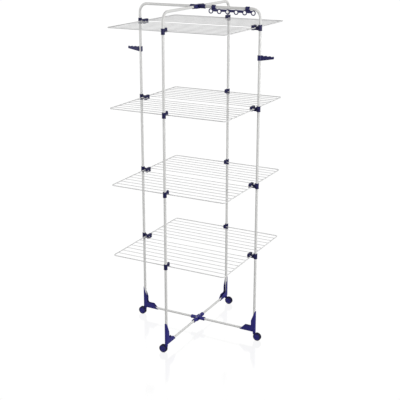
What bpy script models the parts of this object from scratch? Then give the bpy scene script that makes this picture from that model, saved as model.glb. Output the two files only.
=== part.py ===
"""Tower clothes airer, in metres, +Z up, standing on the floor with its upright axis at the origin.

The main frame runs along X. Two half frames, front and rear, swing on its hubs. Eight wire leaves hang on
the main frame and clip to the half frames. Hanger arms, a ring bar and four castors complete it.
A quarter of the frame is modelled with its post at the origin and the middle of the airer towards +Y.
"""

import math

import bmesh
import bpy
from mathutils import Matrix, Vector

# Frame tubes
MAIN_HALF_SPAN = 0.355
SIDE_HALF_SPAN = 0.365
ARM_Z = 1.829
BEND_R = 0.045
TUBE_R = 0.007
TUBE_WALL = 0.0008
POST_END_Z = 0.072
BAR_Z = 0.056
BAR_R = 0.006
BAR_WALL = 0.0008
BAR_SETBACK = 0.0205
TUBE_SIDES = 12
BEND_STEPS = 6

# Clearances and the overrun of every cut
GAP = 0.0003
OVERRUN = 0.003

# Tiers and leaves
TIER_SHARES = (0.275, 0.4937, 0.7217, 0.9497)
PIVOT_Y = 0.013
FIRST_LINE_Y = 0.036
LINE_COUNT = 7
LEAF_SETBACK = 0.019
CLIP_SEAT = 0.014
RIM_R = 0.0025
LINE_R = 0.0015
RIM_CORNER_R = 0.014
PIVOT_CORNER_R = 0.005
RIM_SIDES = 8
LINE_SIDES = 6

# Hubs and knuckles
HINGE_Y = 0.02
HUB_R = 0.011
HUB_HALF_LENGTH = 0.044
HUB_WEB_HALF = 0.004
EAR_R = 0.0105
EAR_THICKNESS = 0.004
KNUCKLE_R = 0.0085
KNUCKLE_NECK_HALF = 0.0075
KNUCKLE_CLEARANCE = 0.002
KNUCKLE_LENGTH = 0.038
KNUCKLE_END_WALL = 0.0035
PIN_R = 0.003
PIN_HEAD_R = 0.0048
PIN_HEAD_THICKNESS = 0.0012
ROUND_SIDES = 16

# Leaf brackets on the main posts
CLAMP_OVERLAP = 0.001
CLAMP_R = 0.0105
CLAMP_HALF_HEIGHT = 0.015
NECK_HALF_WIDTH = 0.0075
NECK_TOP = 0.001
HEAD_START = 0.028
HEAD_DEPTH = 0.013
HEAD_HALF_WIDTH = 0.02
HEAD_HALF_HEIGHT = 0.0125
HEAD_CHAMFER = 0.003
PIVOT_PROUD = 0.004

# Leaf clips on the half frames' posts
CLIP_HALF_WIDTH = 0.0045
CLIP_MOUTH_DROP = 0.004
CLIP_BRIDGE = 0.005
FINGER_START = 0.0245
FINGER_DEPTH = 0.01
FINGER_TOP = 0.017
FINGER_DROP = 0.006
FINGER_SLOPE = 0.003

# Feet: a round-bottomed channel up the post and one along the bar, both open to the inside
FOOT_BASE_Z = 0.047
FOOT_HALF_WIDTH = 0.0088
FOOT_BACK = -0.0098
FOOT_ROUND_STEPS = 7
FOOT_TOP_Z = 0.175
FOOT_EDGE = 0.003
FOOT_TRIM = 0.012
FOOT_LIP = 0.011
FOOT_LIP_Z = 0.132
FOOT_SHAFT = 0.0165
FOOT_SHAFT_TOP_Z = 0.117
FOOT_INSTEP_Z = 0.08
FOOT_INSTEP_R = 0.011
FOOT_BUMP = 0.057
FOOT_TOE = 0.087

# Castors: a carrier with a wheel on each side
WHEEL_R = 0.0225
WHEEL_WIDTH = 0.0055
WHEEL_RIM = 0.005
WHEEL_HUB_R = 0.0065
WHEEL_DISH = 0.002
WHEEL_EDGE = 0.001
WHEEL_GAP = 0.0005
TRAIL = 0.02
CARRIER_HALF_WIDTH = 0.0025
CARRIER_HUB_R = 0.0085
CARRIER_NECK = 0.0065
CARRIER_NECK_Z = 0.034
COLLAR_R = 0.0078
COLLAR_THICKNESS = 0.003
STEM_R = 0.0035
STEM_TOP_Z = 0.066
AXLE_R = 0.003
AXLE_HEAD_R = 0.0041
AXLE_HEAD_THICKNESS = 0.001

# Hanger arms
HANGER_SHARE = 0.8666
HANGER_REACH = 0.078
HANGER_ROOT_HALF = 0.0135
HANGER_TIP_RISE = 0.002
HANGER_TIP_DEPTH = 0.013
HANGER_HALF_THICKNESS = 0.004
HANGER_GRIP_R = 0.0112
HANGER_MOUTH = math.radians(95)
NOTCH_COUNT = 3
NOTCH_PITCH = 0.0215
NOTCH_FIRST = 0.023
NOTCH_HALF_WIDTH = 0.006
NOTCH_DEPTH = 0.003

# Ring bar
RING_COUNT = 6
RING_PITCH = 0.048
RING_FIRST_X = 0.075
RING_DROP = 0.0212
RING_R = 0.0135
RING_HOLE_R = 0.009
RING_HALF_THICKNESS = 0.0025
STRIP_TOP = 0.0095
STRIP_BOTTOM = 0.0205
GRIP_R = 0.0108
GRIP_HALF_LENGTH = 0.011
GRIP_X = (0.0935, 0.2855)
GRIP_MOUTH = math.radians(80)
GRIP_MOUTH_AT = math.radians(50)

# Finishes: colour, metallic, roughness
FINISHES = {
    "white_steel": ((0.78, 0.78, 0.77), 0.0, 0.35),
    "line_steel": ((0.82, 0.82, 0.82), 0.0, 0.4),
    "blue_plastic": ((0.03, 0.03, 0.16), 0.0, 0.4),
    "foot_plastic": ((0.045, 0.045, 0.24), 0.0, 0.35),
    "wheel_plastic": ((0.025, 0.025, 0.09), 0.0, 0.45),
    "zinc_steel": ((0.6, 0.6, 0.62), 1.0, 0.35),
}

SMOOTH_ANGLE = math.radians(40)
QUARTER = math.pi / 2
TIER_Z = tuple(share * ARM_Z for share in TIER_SHARES)
LEAF_HALF_LENGTH = MAIN_HALF_SPAN - LEAF_SETBACK
LEAF_WIDTH = SIDE_HALF_SPAN - CLIP_SEAT - PIVOT_Y
LINE_PITCH = (LEAF_WIDTH + PIVOT_Y - FIRST_LINE_Y) / LINE_COUNT
HANGER_Z = HANGER_SHARE * ARM_Z
HEAD_END = HEAD_START + HEAD_DEPTH
PIVOT_TIP = MAIN_HALF_SPAN - HEAD_END - PIVOT_PROUD
KNUCKLE_HALF_HEIGHT = HUB_R - EAR_THICKNESS - GAP
KNUCKLE_START = EAR_R + KNUCKLE_CLEARANCE
WHEEL_INNER_Y = CARRIER_HALF_WIDTH + WHEEL_GAP


def clear_scene():
    for item in list(bpy.data.objects):
        bpy.data.objects.remove(item, do_unlink=True)


def make_finishes():
    made = {}
    for name, (colour, metallic, roughness) in FINISHES.items():
        material = bpy.data.materials.new(name)
        material.use_nodes = True
        shader = material.node_tree.nodes["Principled BSDF"]
        shader.inputs["Base Color"].default_value = (*colour, 1.0)
        shader.inputs["Metallic"].default_value = metallic
        shader.inputs["Roughness"].default_value = roughness
        material.diffuse_color = (*colour, 1.0)
        made[name] = material
    return made


def arc(centre, radius, start, end, steps):
    """Points of an arc in a plane, from the start angle to the end angle."""
    angles = [start + (end - start) * i / steps for i in range(steps + 1)]
    return [(centre[0] + radius * math.cos(a), centre[1] + radius * math.sin(a)) for a in angles]


def closed(bm, points, rings_closed):
    """The rings of points joined to a closed mesh: a ring of rings, or a run of rings with end caps."""
    rings = [[bm.verts.new(p) for p in ring] for ring in points]
    count = len(rings[0])
    last = len(rings) if rings_closed else len(rings) - 1
    for i in range(last):
        here, there = rings[i], rings[(i + 1) % len(rings)]
        for j in range(count):
            k = (j + 1) % count
            bm.faces.new((here[j], here[k], there[k], there[j]))
    if not rings_closed:
        bm.faces.new(rings[0])
        bm.faces.new(rings[-1])
    bmesh.ops.recalc_face_normals(bm, faces=bm.faces[:])


def mesh_from(bm):
    mesh = bpy.data.meshes.new("shape")
    bm.to_mesh(mesh)
    bm.free()
    return mesh


def ring_round(point, along, across, radius, sides):
    up = along.cross(across)
    turns = [2 * math.pi * i / sides for i in range(sides)]
    return [point + (across * math.cos(a) + up * math.sin(a)) * radius for a in turns]


def sweep(path, across, radius, sides, bore=0.0):
    """A rod along a path in the plane square to across, or a tube if it has a bore."""
    across = Vector(across)
    points = [Vector(p) for p in path]
    outside, inside = [], []
    for i, point in enumerate(points):
        to_here = point - points[i - 1] if i else points[1] - point
        onwards = points[i + 1] - point if i + 1 < len(points) else to_here
        along = (to_here.normalized() + onwards.normalized()).normalized()
        outside.append(ring_round(point, along, across, radius, sides))
        if bore:
            inside.append(ring_round(point, along, across, bore, sides))
    bm = bmesh.new()
    closed(bm, outside + inside[::-1], bool(bore))
    return mesh_from(bm)


def rod(start, end, radius, sides=ROUND_SIDES):
    """A straight round rod along X, Y or Z, with corners on the axes that are square to it."""
    along = (Vector(end) - Vector(start)).normalized()
    across = Vector((0, 0, 1)) if abs(along.z) < 0.5 else Vector((1, 0, 0))
    return sweep([start, end], across, radius, sides)


def prism(outline, axis, low, high):
    """A flat outline, given in the two other axes in X, Y, Z order, drawn out along an axis."""
    place = {
        "X": lambda u, v, w: Vector((w, u, v)),
        "Y": lambda u, v, w: Vector((u, w, v)),
        "Z": lambda u, v, w: Vector((u, v, w)),
    }[axis]
    bm = bmesh.new()
    closed(bm, [[place(u, v, w) for u, v in outline] for w in (low, high)], False)
    return mesh_from(bm)


def box(low, high):
    outline = [(low[0], low[1]), (high[0], low[1]), (high[0], high[1]), (low[0], high[1])]
    return prism(outline, "Z", low[2], high[2])


def turned(profile, sides):
    """A closed profile of (radius, place along Y), turned about the Y axis, with a flat at the bottom."""
    rings = []
    corner = 1 / math.cos(math.pi / sides)
    for i in range(sides):
        a = 2 * math.pi * (i + 0.5) / sides
        across, up = corner * math.sin(a), -corner * math.cos(a)
        rings.append([Vector((r * across, y, r * up)) for r, y in profile])
    bm = bmesh.new()
    closed(bm, rings, True)
    return mesh_from(bm)


def joined(*meshes):
    """Several separate bodies in one mesh."""
    bm = bmesh.new()
    for mesh in meshes:
        bm.from_mesh(mesh)
        bpy.data.meshes.remove(mesh)
    return mesh_from(bm)


def combined(operation, base, *tools):
    """The base mesh after one Boolean with each tool."""
    scene = bpy.context.scene.collection
    for tool in tools:
        body = bpy.data.objects.new("body", base)
        cutter = bpy.data.objects.new("cutter", tool)
        scene.objects.link(body)
        scene.objects.link(cutter)
        step = body.modifiers.new("step", "BOOLEAN")
        step.operation = operation
        step.object = cutter
        result = body.evaluated_get(bpy.context.evaluated_depsgraph_get())
        made = bpy.data.meshes.new_from_object(result)
        for item in (body, cutter):
            bpy.data.objects.remove(item, do_unlink=True)
        for mesh in (base, tool):
            bpy.data.meshes.remove(mesh)
        base = made
    return base


def united(base, *tools):
    return combined("UNION", base, *tools)


def cut(base, *tools):
    return combined("DIFFERENCE", base, *tools)


class Builder:
    """Places finished meshes as named objects with a finish, on an optional carrier."""

    def __init__(self):
        self.finishes = make_finishes()

    def carrier(self, name, place):
        empty = bpy.data.objects.new(name, None)
        empty.location = place
        bpy.context.scene.collection.objects.link(empty)
        return empty

    def add(self, name, mesh, finish, place=(0, 0, 0), turn=0.0, carrier=None):
        own = mesh.copy()
        own.name = name
        own.materials.clear()
        own.materials.append(self.finishes[finish])
        own.shade_smooth()
        own.set_sharp_from_angle(angle=SMOOTH_ANGLE)
        item = bpy.data.objects.new(name, own)
        bpy.context.scene.collection.objects.link(item)
        item.location = Vector(place)
        item.rotation_euler.z = turn
        if carrier:
            item.parent = carrier
            item.location -= carrier.location
        return item


def post_mesh(half_span, end_from_middle):
    """An upright tube with its arm, seen with the post at the origin and the middle towards +Y."""
    bend = arc((BEND_R, ARM_Z - BEND_R), BEND_R, 2 * QUARTER, QUARTER, BEND_STEPS)
    path = [(0, 0, POST_END_Z)]
    path += [(0, y, z) for y, z in bend]
    path += [(0, half_span - end_from_middle, ARM_Z)]
    return sweep(path, (1, 0, 0), TUBE_R, TUBE_SIDES, TUBE_R - TUBE_WALL)


def bar_mesh(start, end):
    """A base bar along Y, open at both ends."""
    return sweep([(0, start, BAR_Z), (0, end, BAR_Z)], (1, 0, 0), BAR_R, TUBE_SIDES, BAR_R - BAR_WALL)


def foot_outline(inset):
    """The foot's outline in its own plane, with its back and its base drawn in by the inset."""
    back, base = FOOT_BACK + inset, FOOT_BASE_Z + inset
    fall = (FOOT_TOP_Z - FOOT_LIP_Z) / (FOOT_LIP - FOOT_BACK - FOOT_EDGE)
    run = (FOOT_TOE - FOOT_BUMP) / (FOOT_INSTEP_Z - FOOT_BASE_Z - FOOT_EDGE)
    instep = (FOOT_SHAFT + FOOT_INSTEP_R, FOOT_INSTEP_Z + FOOT_INSTEP_R)
    outline = [(back, base), (FOOT_BUMP + (FOOT_INSTEP_Z - base) * run, base), (FOOT_BUMP, FOOT_INSTEP_Z)]
    outline += arc(instep, FOOT_INSTEP_R, -QUARTER, -2 * QUARTER, 4)
    outline += [(FOOT_SHAFT, FOOT_SHAFT_TOP_Z), (FOOT_LIP, FOOT_LIP_Z)]
    return outline + [(back, FOOT_LIP_Z + (FOOT_LIP - back) * fall)]


def foot_mesh():
    """A gusset bracket whose cheeks and rounded back hold the post's end and the bar's end."""
    slices = []
    flat = math.cos(QUARTER / FOOT_ROUND_STEPS)
    for i in range(FOOT_ROUND_STEPS + 1):
        angle = QUARTER * (2 * i / FOOT_ROUND_STEPS - 1)
        x, inset = FOOT_HALF_WIDTH * math.sin(angle), FOOT_HALF_WIDTH * (1 - math.cos(angle) / flat)
        slices.append([Vector((x, y, z)) for y, z in foot_outline(inset)])
    bm = bmesh.new()
    closed(bm, slices, False)
    body = mesh_from(bm)
    seat_z, top = POST_END_Z - GAP, FOOT_TOP_Z + OVERRUN
    toe = FOOT_TOE + OVERRUN
    round_post = arc((0, 0), TUBE_R + GAP, 2 * QUARTER, 4 * QUARTER, TUBE_SIDES // 2)
    round_bar = arc((0, BAR_Z), BAR_R + GAP, 2 * QUARTER, 4 * QUARTER, TUBE_SIDES // 2)
    post_slot = round_post + [(TUBE_R + GAP, toe), (-TUBE_R - GAP, toe)]
    bar_slot = round_bar + [(BAR_R + GAP, top), (-BAR_R - GAP, top)]
    wide, high = FOOT_HALF_WIDTH + OVERRUN, FOOT_TOP_Z + FOOT_TRIM
    spike = box((-wide, FOOT_BACK - OVERRUN, FOOT_TOP_Z), (wide, FOOT_SHAFT, high))
    tip = box((-wide, FOOT_TOE, FOOT_BASE_Z - OVERRUN), (wide, FOOT_TOE + FOOT_TRIM, BAR_Z))
    return cut(
        body,
        spike,
        tip,
        prism(post_slot, "Z", seat_z, top),
        prism(bar_slot, "Y", BAR_SETBACK - GAP, toe),
        rod((0, 0, FOOT_BASE_Z - OVERRUN), (0, 0, STEM_TOP_Z + GAP), STEM_R + GAP, TUBE_SIDES),
    )


def clamp_mesh():
    low, high = (0, 0, -CLAMP_HALF_HEIGHT), (0, 0, CLAMP_HALF_HEIGHT)
    return rod(low, high, CLAMP_R, TUBE_SIDES)


def clamp_bore():
    reach = CLAMP_HALF_HEIGHT + OVERRUN
    return rod((0, 0, -reach), (0, 0, reach), TUBE_R + GAP, TUBE_SIDES)


def bracket_mesh():
    """A clamp on the post, and a cross head whose two holes take the leaves' pivot ends."""
    neck_low = (-NECK_HALF_WIDTH, CLAMP_R - CLAMP_OVERLAP, -HEAD_HALF_HEIGHT)
    neck = box(neck_low, (NECK_HALF_WIDTH, HEAD_START + HEAD_DEPTH / 2, NECK_TOP))
    wide, tall, c = HEAD_HALF_WIDTH, HEAD_HALF_HEIGHT, HEAD_CHAMFER
    corner = [(wide, tall - c), (wide - c, tall), (c - wide, tall), (-wide, tall - c)]
    outline = corner + [(-x, -z) for x, z in corner]
    head = prism(outline, "Y", HEAD_START, HEAD_END)
    start, end = HEAD_START - OVERRUN, HEAD_END + OVERRUN
    holes = [rod((x, start, 0), (x, end, 0), RIM_R + GAP, RIM_SIDES) for x in (-PIVOT_Y, PIVOT_Y)]
    return cut(united(clamp_mesh(), neck, head), clamp_bore(), *holes)


def clip_mesh():
    """A clamp on the post, and a block that the leaf's rim snaps up into, with a tall finger behind it."""
    rim = CLIP_SEAT
    seat = RIM_R + GAP
    outline = [(CLAMP_R - CLAMP_OVERLAP, seat + CLIP_BRIDGE), (CLAMP_R - CLAMP_OVERLAP, 0)]
    outline += arc((rim, 0), seat, 2 * QUARTER, 0, 4)
    outline += [(rim + seat, -CLIP_MOUTH_DROP), (FINGER_START, -FINGER_DROP)]
    end = FINGER_START + FINGER_DEPTH
    outline += [(end, -FINGER_DROP), (end, FINGER_TOP - FINGER_SLOPE), (end - FINGER_SLOPE, FINGER_TOP)]
    outline += [(FINGER_START + FINGER_SLOPE, FINGER_TOP), (FINGER_START, FINGER_TOP - FINGER_DROP)]
    outline += [(FINGER_START - FINGER_SLOPE, seat + CLIP_BRIDGE)]
    block = prism(outline, "X", -CLIP_HALF_WIDTH, CLIP_HALF_WIDTH)
    return cut(united(clamp_mesh(), block), clamp_bore())


def leaf_mesh():
    """One wire leaf, with its pivot axis along X at the origin and its lines towards -Y."""
    half, width = LEAF_HALF_LENGTH, LEAF_WIDTH
    inner = arc((PIVOT_CORNER_R - half, -PIVOT_CORNER_R), PIVOT_CORNER_R, QUARTER, 2 * QUARTER, 3)
    outer_centre = (RIM_CORNER_R - half, RIM_CORNER_R - width)
    outer = arc(outer_centre, RIM_CORNER_R, 2 * QUARTER, 3 * QUARTER, 4)
    left = [(-PIVOT_TIP, 0)] + inner + outer
    path = left + [(-x, y) for x, y in reversed(left)]
    rim = sweep([(x, y, 0) for x, y in path], (0, 0, 1), RIM_R, RIM_SIDES)
    places = [PIVOT_Y - FIRST_LINE_Y - LINE_PITCH * i for i in range(LINE_COUNT)]
    lines = [rod((-half, y, 0), (half, y, 0), LINE_R, LINE_SIDES) for y in places]
    return united(rim, joined(*lines))


def hub_mesh(z, bore, bore_from):
    """A sleeve along X with ears above and below for the two hinge pins."""
    sleeve = rod((-HUB_HALF_LENGTH, 0, z), (HUB_HALF_LENGTH, 0, z), HUB_R)
    ears = []
    for low, high in ((z - HUB_R, z - HUB_R + EAR_THICKNESS), (z + HUB_R - EAR_THICKNESS, z + HUB_R)):
        ends = arc((0, HINGE_Y), EAR_R, 0, 2 * QUARTER, 6)
        ends += [(-x, -y) for x, y in ends]
        ears.append(prism(ends, "Z", low, high))
    body = united(sleeve, *ears)
    end = HUB_HALF_LENGTH + OVERRUN
    if bore_from:
        bores = [rod((side * bore_from, 0, z), (side * end, 0, z), bore, TUBE_SIDES) for side in (-1, 1)]
    else:
        bores = [rod((-end, 0, z), (end, 0, z), bore, TUBE_SIDES)]
    reach = HUB_R + OVERRUN
    holes = [(0, side * HINGE_Y) for side in (-1, 1)]
    pins = [rod((x, y, z - reach), (x, y, z + reach), PIN_R + GAP, TUBE_SIDES) for x, y in holes]
    return cut(body, *bores, *pins)


def knuckle_mesh(bore):
    """A barrel on the hinge pin at the origin, and a sleeve towards -Y for the arm or the bar."""
    tall = KNUCKLE_HALF_HEIGHT
    barrel = rod((0, 0, -tall), (0, 0, tall), KNUCKLE_R)
    neck_end = -KNUCKLE_START - KNUCKLE_END_WALL / 2
    neck = box((-KNUCKLE_NECK_HALF, neck_end, -tall), (KNUCKLE_NECK_HALF, 0, tall))
    sleeve = rod((0, -KNUCKLE_START, 0), (0, -KNUCKLE_LENGTH, 0), HUB_R)
    mouth = (0, -KNUCKLE_LENGTH - OVERRUN, 0)
    socket = rod((0, -KNUCKLE_START - KNUCKLE_END_WALL, 0), mouth, bore, TUBE_SIDES)
    hole = rod((0, 0, -HUB_R), (0, 0, HUB_R), PIN_R + GAP, TUBE_SIDES)
    return cut(united(barrel, neck, sleeve), socket, hole)


def pin_mesh():
    """A rivet through both ears of a hub, with a head at each end."""
    face = HUB_R + GAP
    shank = rod((0, 0, -face - GAP), (0, 0, face + GAP), PIN_R, TUBE_SIDES)
    low = rod((0, 0, -face - PIN_HEAD_THICKNESS), (0, 0, -face), PIN_HEAD_R, TUBE_SIDES)
    high = rod((0, 0, face), (0, 0, face + PIN_HEAD_THICKNESS), PIN_HEAD_R, TUBE_SIDES)
    return united(shank, low, high)


def carrier_mesh():
    """A castor's carrier, with its stem at the origin and its two stub axles towards -X."""
    top = FOOT_BASE_Z - GAP
    half = CARRIER_HALF_WIDTH
    round_end = arc((-TRAIL, WHEEL_R), CARRIER_HUB_R, 1.5 * QUARTER, 3.5 * QUARTER, 6)
    outline = [(CARRIER_NECK, top), (-CARRIER_NECK, top)] + round_end + [(CARRIER_NECK, CARRIER_NECK_Z)]
    plate = prism(outline, "Y", -half, half)
    collar = rod((0, 0, top - COLLAR_THICKNESS), (0, 0, top), COLLAR_R)
    stem = rod((0, 0, top - COLLAR_THICKNESS / 2), (0, 0, STEM_TOP_Z), STEM_R, TUBE_SIDES)
    face = WHEEL_INNER_Y + WHEEL_WIDTH + GAP
    end = face + AXLE_HEAD_THICKNESS
    axle = rod((-TRAIL, -face - GAP, WHEEL_R), (-TRAIL, face + GAP, WHEEL_R), AXLE_R, TUBE_SIDES)
    heads = []
    for side in (-1, 1):
        start, stop = (-TRAIL, side * face, WHEEL_R), (-TRAIL, side * end, WHEEL_R)
        heads.append(rod(start, stop, AXLE_HEAD_R, TUBE_SIDES))
    return united(plate, collar, stem, axle, *heads)


def wheel_mesh():
    """One wheel with its inner face at the origin and its dished outer face towards +Y."""
    rim, web = WHEEL_R - WHEEL_RIM, WHEEL_WIDTH - WHEEL_DISH
    bore = AXLE_R + GAP
    profile = [(bore, 0), (bore, WHEEL_WIDTH), (WHEEL_HUB_R, WHEEL_WIDTH), (WHEEL_HUB_R, web), (rim, web)]
    profile += [(rim, WHEEL_WIDTH), (WHEEL_R - WHEEL_EDGE, WHEEL_WIDTH), (WHEEL_R, WHEEL_WIDTH - WHEEL_EDGE)]
    profile += [(WHEEL_R, WHEEL_EDGE), (WHEEL_R - WHEEL_EDGE, 0)]
    return turned(profile, ROUND_SIDES)


def grip_outline(outer, mouth_at, mouth):
    """A C round a tube at the origin, open by the mouth angle about the direction mouth_at."""
    start, end = mouth_at + mouth / 2, mouth_at - mouth / 2 + 4 * QUARTER
    inside = TUBE_R + GAP
    return arc((0, 0), outer, start, end, 10) + arc((0, 0), inside / math.cos(math.pi / 24), end, start, 10)


def hanger_mesh():
    """A notched wedge towards -Y, with a C grip on the post at the origin, open towards +X."""
    grip = prism(grip_outline(HANGER_GRIP_R, 0, HANGER_MOUTH), "Z", -HANGER_ROOT_HALF, HANGER_ROOT_HALF)
    root, tip = -(HANGER_GRIP_R - CLAMP_OVERLAP), -HANGER_REACH
    high, high_tip = HANGER_ROOT_HALF, HANGER_ROOT_HALF - HANGER_TIP_RISE

    def edge(y):
        return high + (high_tip - high) * (y - root) / (tip - root)

    top = [(root, high)]
    for i in range(NOTCH_COUNT):
        middle = -(NOTCH_FIRST + NOTCH_PITCH * i)
        for shift, depth in ((NOTCH_HALF_WIDTH, 0), (0, NOTCH_DEPTH), (-NOTCH_HALF_WIDTH, 0)):
            top.append((middle + shift, edge(middle + shift) - depth))
    outline = top + [(tip, high_tip), (tip, high_tip - HANGER_TIP_DEPTH), (root, -HANGER_ROOT_HALF)]
    wedge = prism(outline, "X", -HANGER_HALF_THICKNESS, HANGER_HALF_THICKNESS)
    return united(grip, wedge)


def ring_bar_mesh():
    """Six rings in a strip that hangs on the right arm by two grips; the arm's axis is the X axis here."""
    thick = RING_HALF_THICKNESS
    places = [RING_FIRST_X + RING_PITCH * i for i in range(RING_COUNT)]
    body = box((places[0], -thick, -STRIP_BOTTOM), (places[-1], thick, -STRIP_TOP))
    discs = [rod((x, -thick, -RING_DROP), (x, thick, -RING_DROP), RING_R) for x in places]
    outline = grip_outline(GRIP_R, GRIP_MOUTH_AT, GRIP_MOUTH)
    grips = [prism(outline, "X", x - GRIP_HALF_LENGTH, x + GRIP_HALF_LENGTH) for x in GRIP_X]
    reach = thick + OVERRUN
    holes = [rod((x, -reach, -RING_DROP), (x, reach, -RING_DROP), RING_HOLE_R, TUBE_SIDES) for x in places]
    return cut(united(body, *discs, *grips), joined(*holes))


def build_main_frame(builder):
    post = post_mesh(MAIN_HALF_SPAN, HUB_WEB_HALF + GAP)
    foot, bracket, pin = foot_mesh(), bracket_mesh(), pin_mesh()
    bar = bar_mesh(BAR_SETBACK, 2 * MAIN_HALF_SPAN - BAR_SETBACK)
    sides = (("left", -MAIN_HALF_SPAN, -QUARTER), ("right", MAIN_HALF_SPAN, QUARTER))
    for side, x, turn in sides:
        builder.add(f"{side}_post", post, "white_steel", (x, 0, 0), turn)
        builder.add(f"{side}_foot", foot, "foot_plastic", (x, 0, 0), turn)
        for i, z in enumerate(TIER_Z):
            builder.add(f"{side}_leaf_bracket_{i + 1}", bracket, "blue_plastic", (x, 0, z), turn)
    builder.add("main_base_bar", bar, "white_steel", (-MAIN_HALF_SPAN, 0, 0), -QUARTER)
    builder.add("top_hub", hub_mesh(ARM_Z, TUBE_R + GAP, HUB_WEB_HALF), "blue_plastic")
    builder.add("bottom_hub", hub_mesh(BAR_Z, BAR_R + GAP, 0), "blue_plastic")
    for side, y in (("front", -HINGE_Y), ("rear", HINGE_Y)):
        for end, z in (("top", ARM_Z), ("bottom", BAR_Z)):
            builder.add(f"{side}_{end}_hinge_pin", pin, "zinc_steel", (0, y, z))


def build_half_frames(builder):
    socket = HINGE_Y + KNUCKLE_START + KNUCKLE_END_WALL + GAP
    post = post_mesh(SIDE_HALF_SPAN, socket)
    bar = bar_mesh(BAR_SETBACK, SIDE_HALF_SPAN - socket)
    foot, clip = foot_mesh(), clip_mesh()
    knuckles = {"top": (knuckle_mesh(TUBE_R + GAP), ARM_Z), "bottom": (knuckle_mesh(BAR_R + GAP), BAR_Z)}
    for side, way, turn in (("front", -1, 0.0), ("rear", 1, 2 * QUARTER)):
        hinge = builder.carrier(f"{side}_hinge_axis", (0, way * HINGE_Y, 0))
        place = (0, way * SIDE_HALF_SPAN, 0)
        builder.add(f"{side}_post", post, "white_steel", place, turn, hinge)
        builder.add(f"{side}_base_bar", bar, "white_steel", place, turn, hinge)
        builder.add(f"{side}_foot", foot, "foot_plastic", place, turn, hinge)
        for end, (knuckle, z) in knuckles.items():
            at = (0, way * HINGE_Y, z)
            builder.add(f"{side}_{end}_knuckle", knuckle, "blue_plastic", at, turn, hinge)
        for i, z in enumerate(TIER_Z):
            at = (0, way * SIDE_HALF_SPAN, z)
            builder.add(f"{side}_leaf_clip_{i + 1}", clip, "blue_plastic", at, turn, hinge)


def build_leaves(builder):
    leaf = leaf_mesh()
    for side, way, turn in (("front", -1, 0.0), ("rear", 1, 2 * QUARTER)):
        for i, z in enumerate(TIER_Z):
            builder.add(f"{side}_leaf_{i + 1}", leaf, "line_steel", (0, way * PIVOT_Y, z), turn)


def build_castors(builder):
    carrier, wheel = carrier_mesh(), wheel_mesh()
    places = {
        "left": (-MAIN_HALF_SPAN, 0, -1),
        "front": (0, -SIDE_HALF_SPAN, -1),
        "right": (MAIN_HALF_SPAN, 0, 1),
        "rear": (0, SIDE_HALF_SPAN, 1),
    }
    for side, (x, y, way) in places.items():
        turn = 0.0 if way < 0 else 2 * QUARTER
        swivel = builder.carrier(f"{side}_swivel_axis", (x, y, 0))
        builder.add(f"{side}_castor_carrier", carrier, "foot_plastic", (x, y, 0), turn, swivel)
        for number, facing in ((1, -1), (2, 1)):
            at = (x + way * TRAIL, y + facing * WHEEL_INNER_Y, WHEEL_R)
            turn = 0.0 if facing > 0 else 2 * QUARTER
            builder.add(f"{side}_castor_wheel_{number}", wheel, "wheel_plastic", at, turn, swivel)


def build_accessories(builder):
    hanger = hanger_mesh()
    for side, x, turn in (("left", -MAIN_HALF_SPAN, -QUARTER), ("right", MAIN_HALF_SPAN, QUARTER)):
        builder.add(f"{side}_hanger_arm", hanger, "blue_plastic", (x, 0, HANGER_Z), turn)
    builder.add("ring_bar", ring_bar_mesh(), "blue_plastic", (0, 0, ARM_Z))


def main():
    clear_scene()
    builder = Builder()
    build_main_frame(builder)
    build_half_frames(builder)
    build_leaves(builder)
    build_castors(builder)
    build_accessories(builder)


main()
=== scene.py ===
"""The looks of a tower clothes airer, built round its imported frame.

A quarter of the frame is modelled with its post at the origin and the middle of the airer towards +Y, and
is then turned to its side. A leaf is modelled with its pivot axis along X and its lines towards -Y. Sizes
are in metres.
"""

import math

import bmesh
import bpy
from mathutils import Matrix, Vector


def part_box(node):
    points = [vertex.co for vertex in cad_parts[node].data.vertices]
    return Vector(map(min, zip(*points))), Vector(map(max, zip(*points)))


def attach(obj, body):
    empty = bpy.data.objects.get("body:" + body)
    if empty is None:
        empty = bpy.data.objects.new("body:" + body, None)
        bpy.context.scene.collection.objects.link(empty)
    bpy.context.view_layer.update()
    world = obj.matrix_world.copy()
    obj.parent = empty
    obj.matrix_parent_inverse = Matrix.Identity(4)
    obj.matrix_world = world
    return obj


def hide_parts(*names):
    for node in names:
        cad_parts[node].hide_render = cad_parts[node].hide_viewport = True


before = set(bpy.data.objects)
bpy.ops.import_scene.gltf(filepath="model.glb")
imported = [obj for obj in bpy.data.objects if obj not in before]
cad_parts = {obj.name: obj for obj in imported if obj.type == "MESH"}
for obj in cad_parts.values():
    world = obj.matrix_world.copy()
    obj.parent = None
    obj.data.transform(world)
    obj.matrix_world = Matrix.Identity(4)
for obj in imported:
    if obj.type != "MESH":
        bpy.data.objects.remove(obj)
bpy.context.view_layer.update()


def mid_height(node):
    low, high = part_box(node)
    return (low[2] + high[2]) / 2


QUARTER = math.pi / 2

# The frame's own sizes
MAIN_HALF_SPAN = 0.355
SIDE_HALF_SPAN = 0.365
ARM_Z = mid_height("top_hub")
BAR_Z = mid_height("bottom_hub")
TIER_Z = [mid_height(f"left_leaf_bracket_{number}") for number in (1, 2, 3, 4)]
HANGER_Z = mid_height("left_hanger_arm")
POST_END_Z = 0.072
BAR_SETBACK = 0.0205
TUBE_R = 0.007
BAR_R = 0.006
BEND_R = 0.045

# Clearance between fitted pieces, and how far a cutting tool reaches past a piece
GAP = 0.0003
OVERRUN = 0.003

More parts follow.
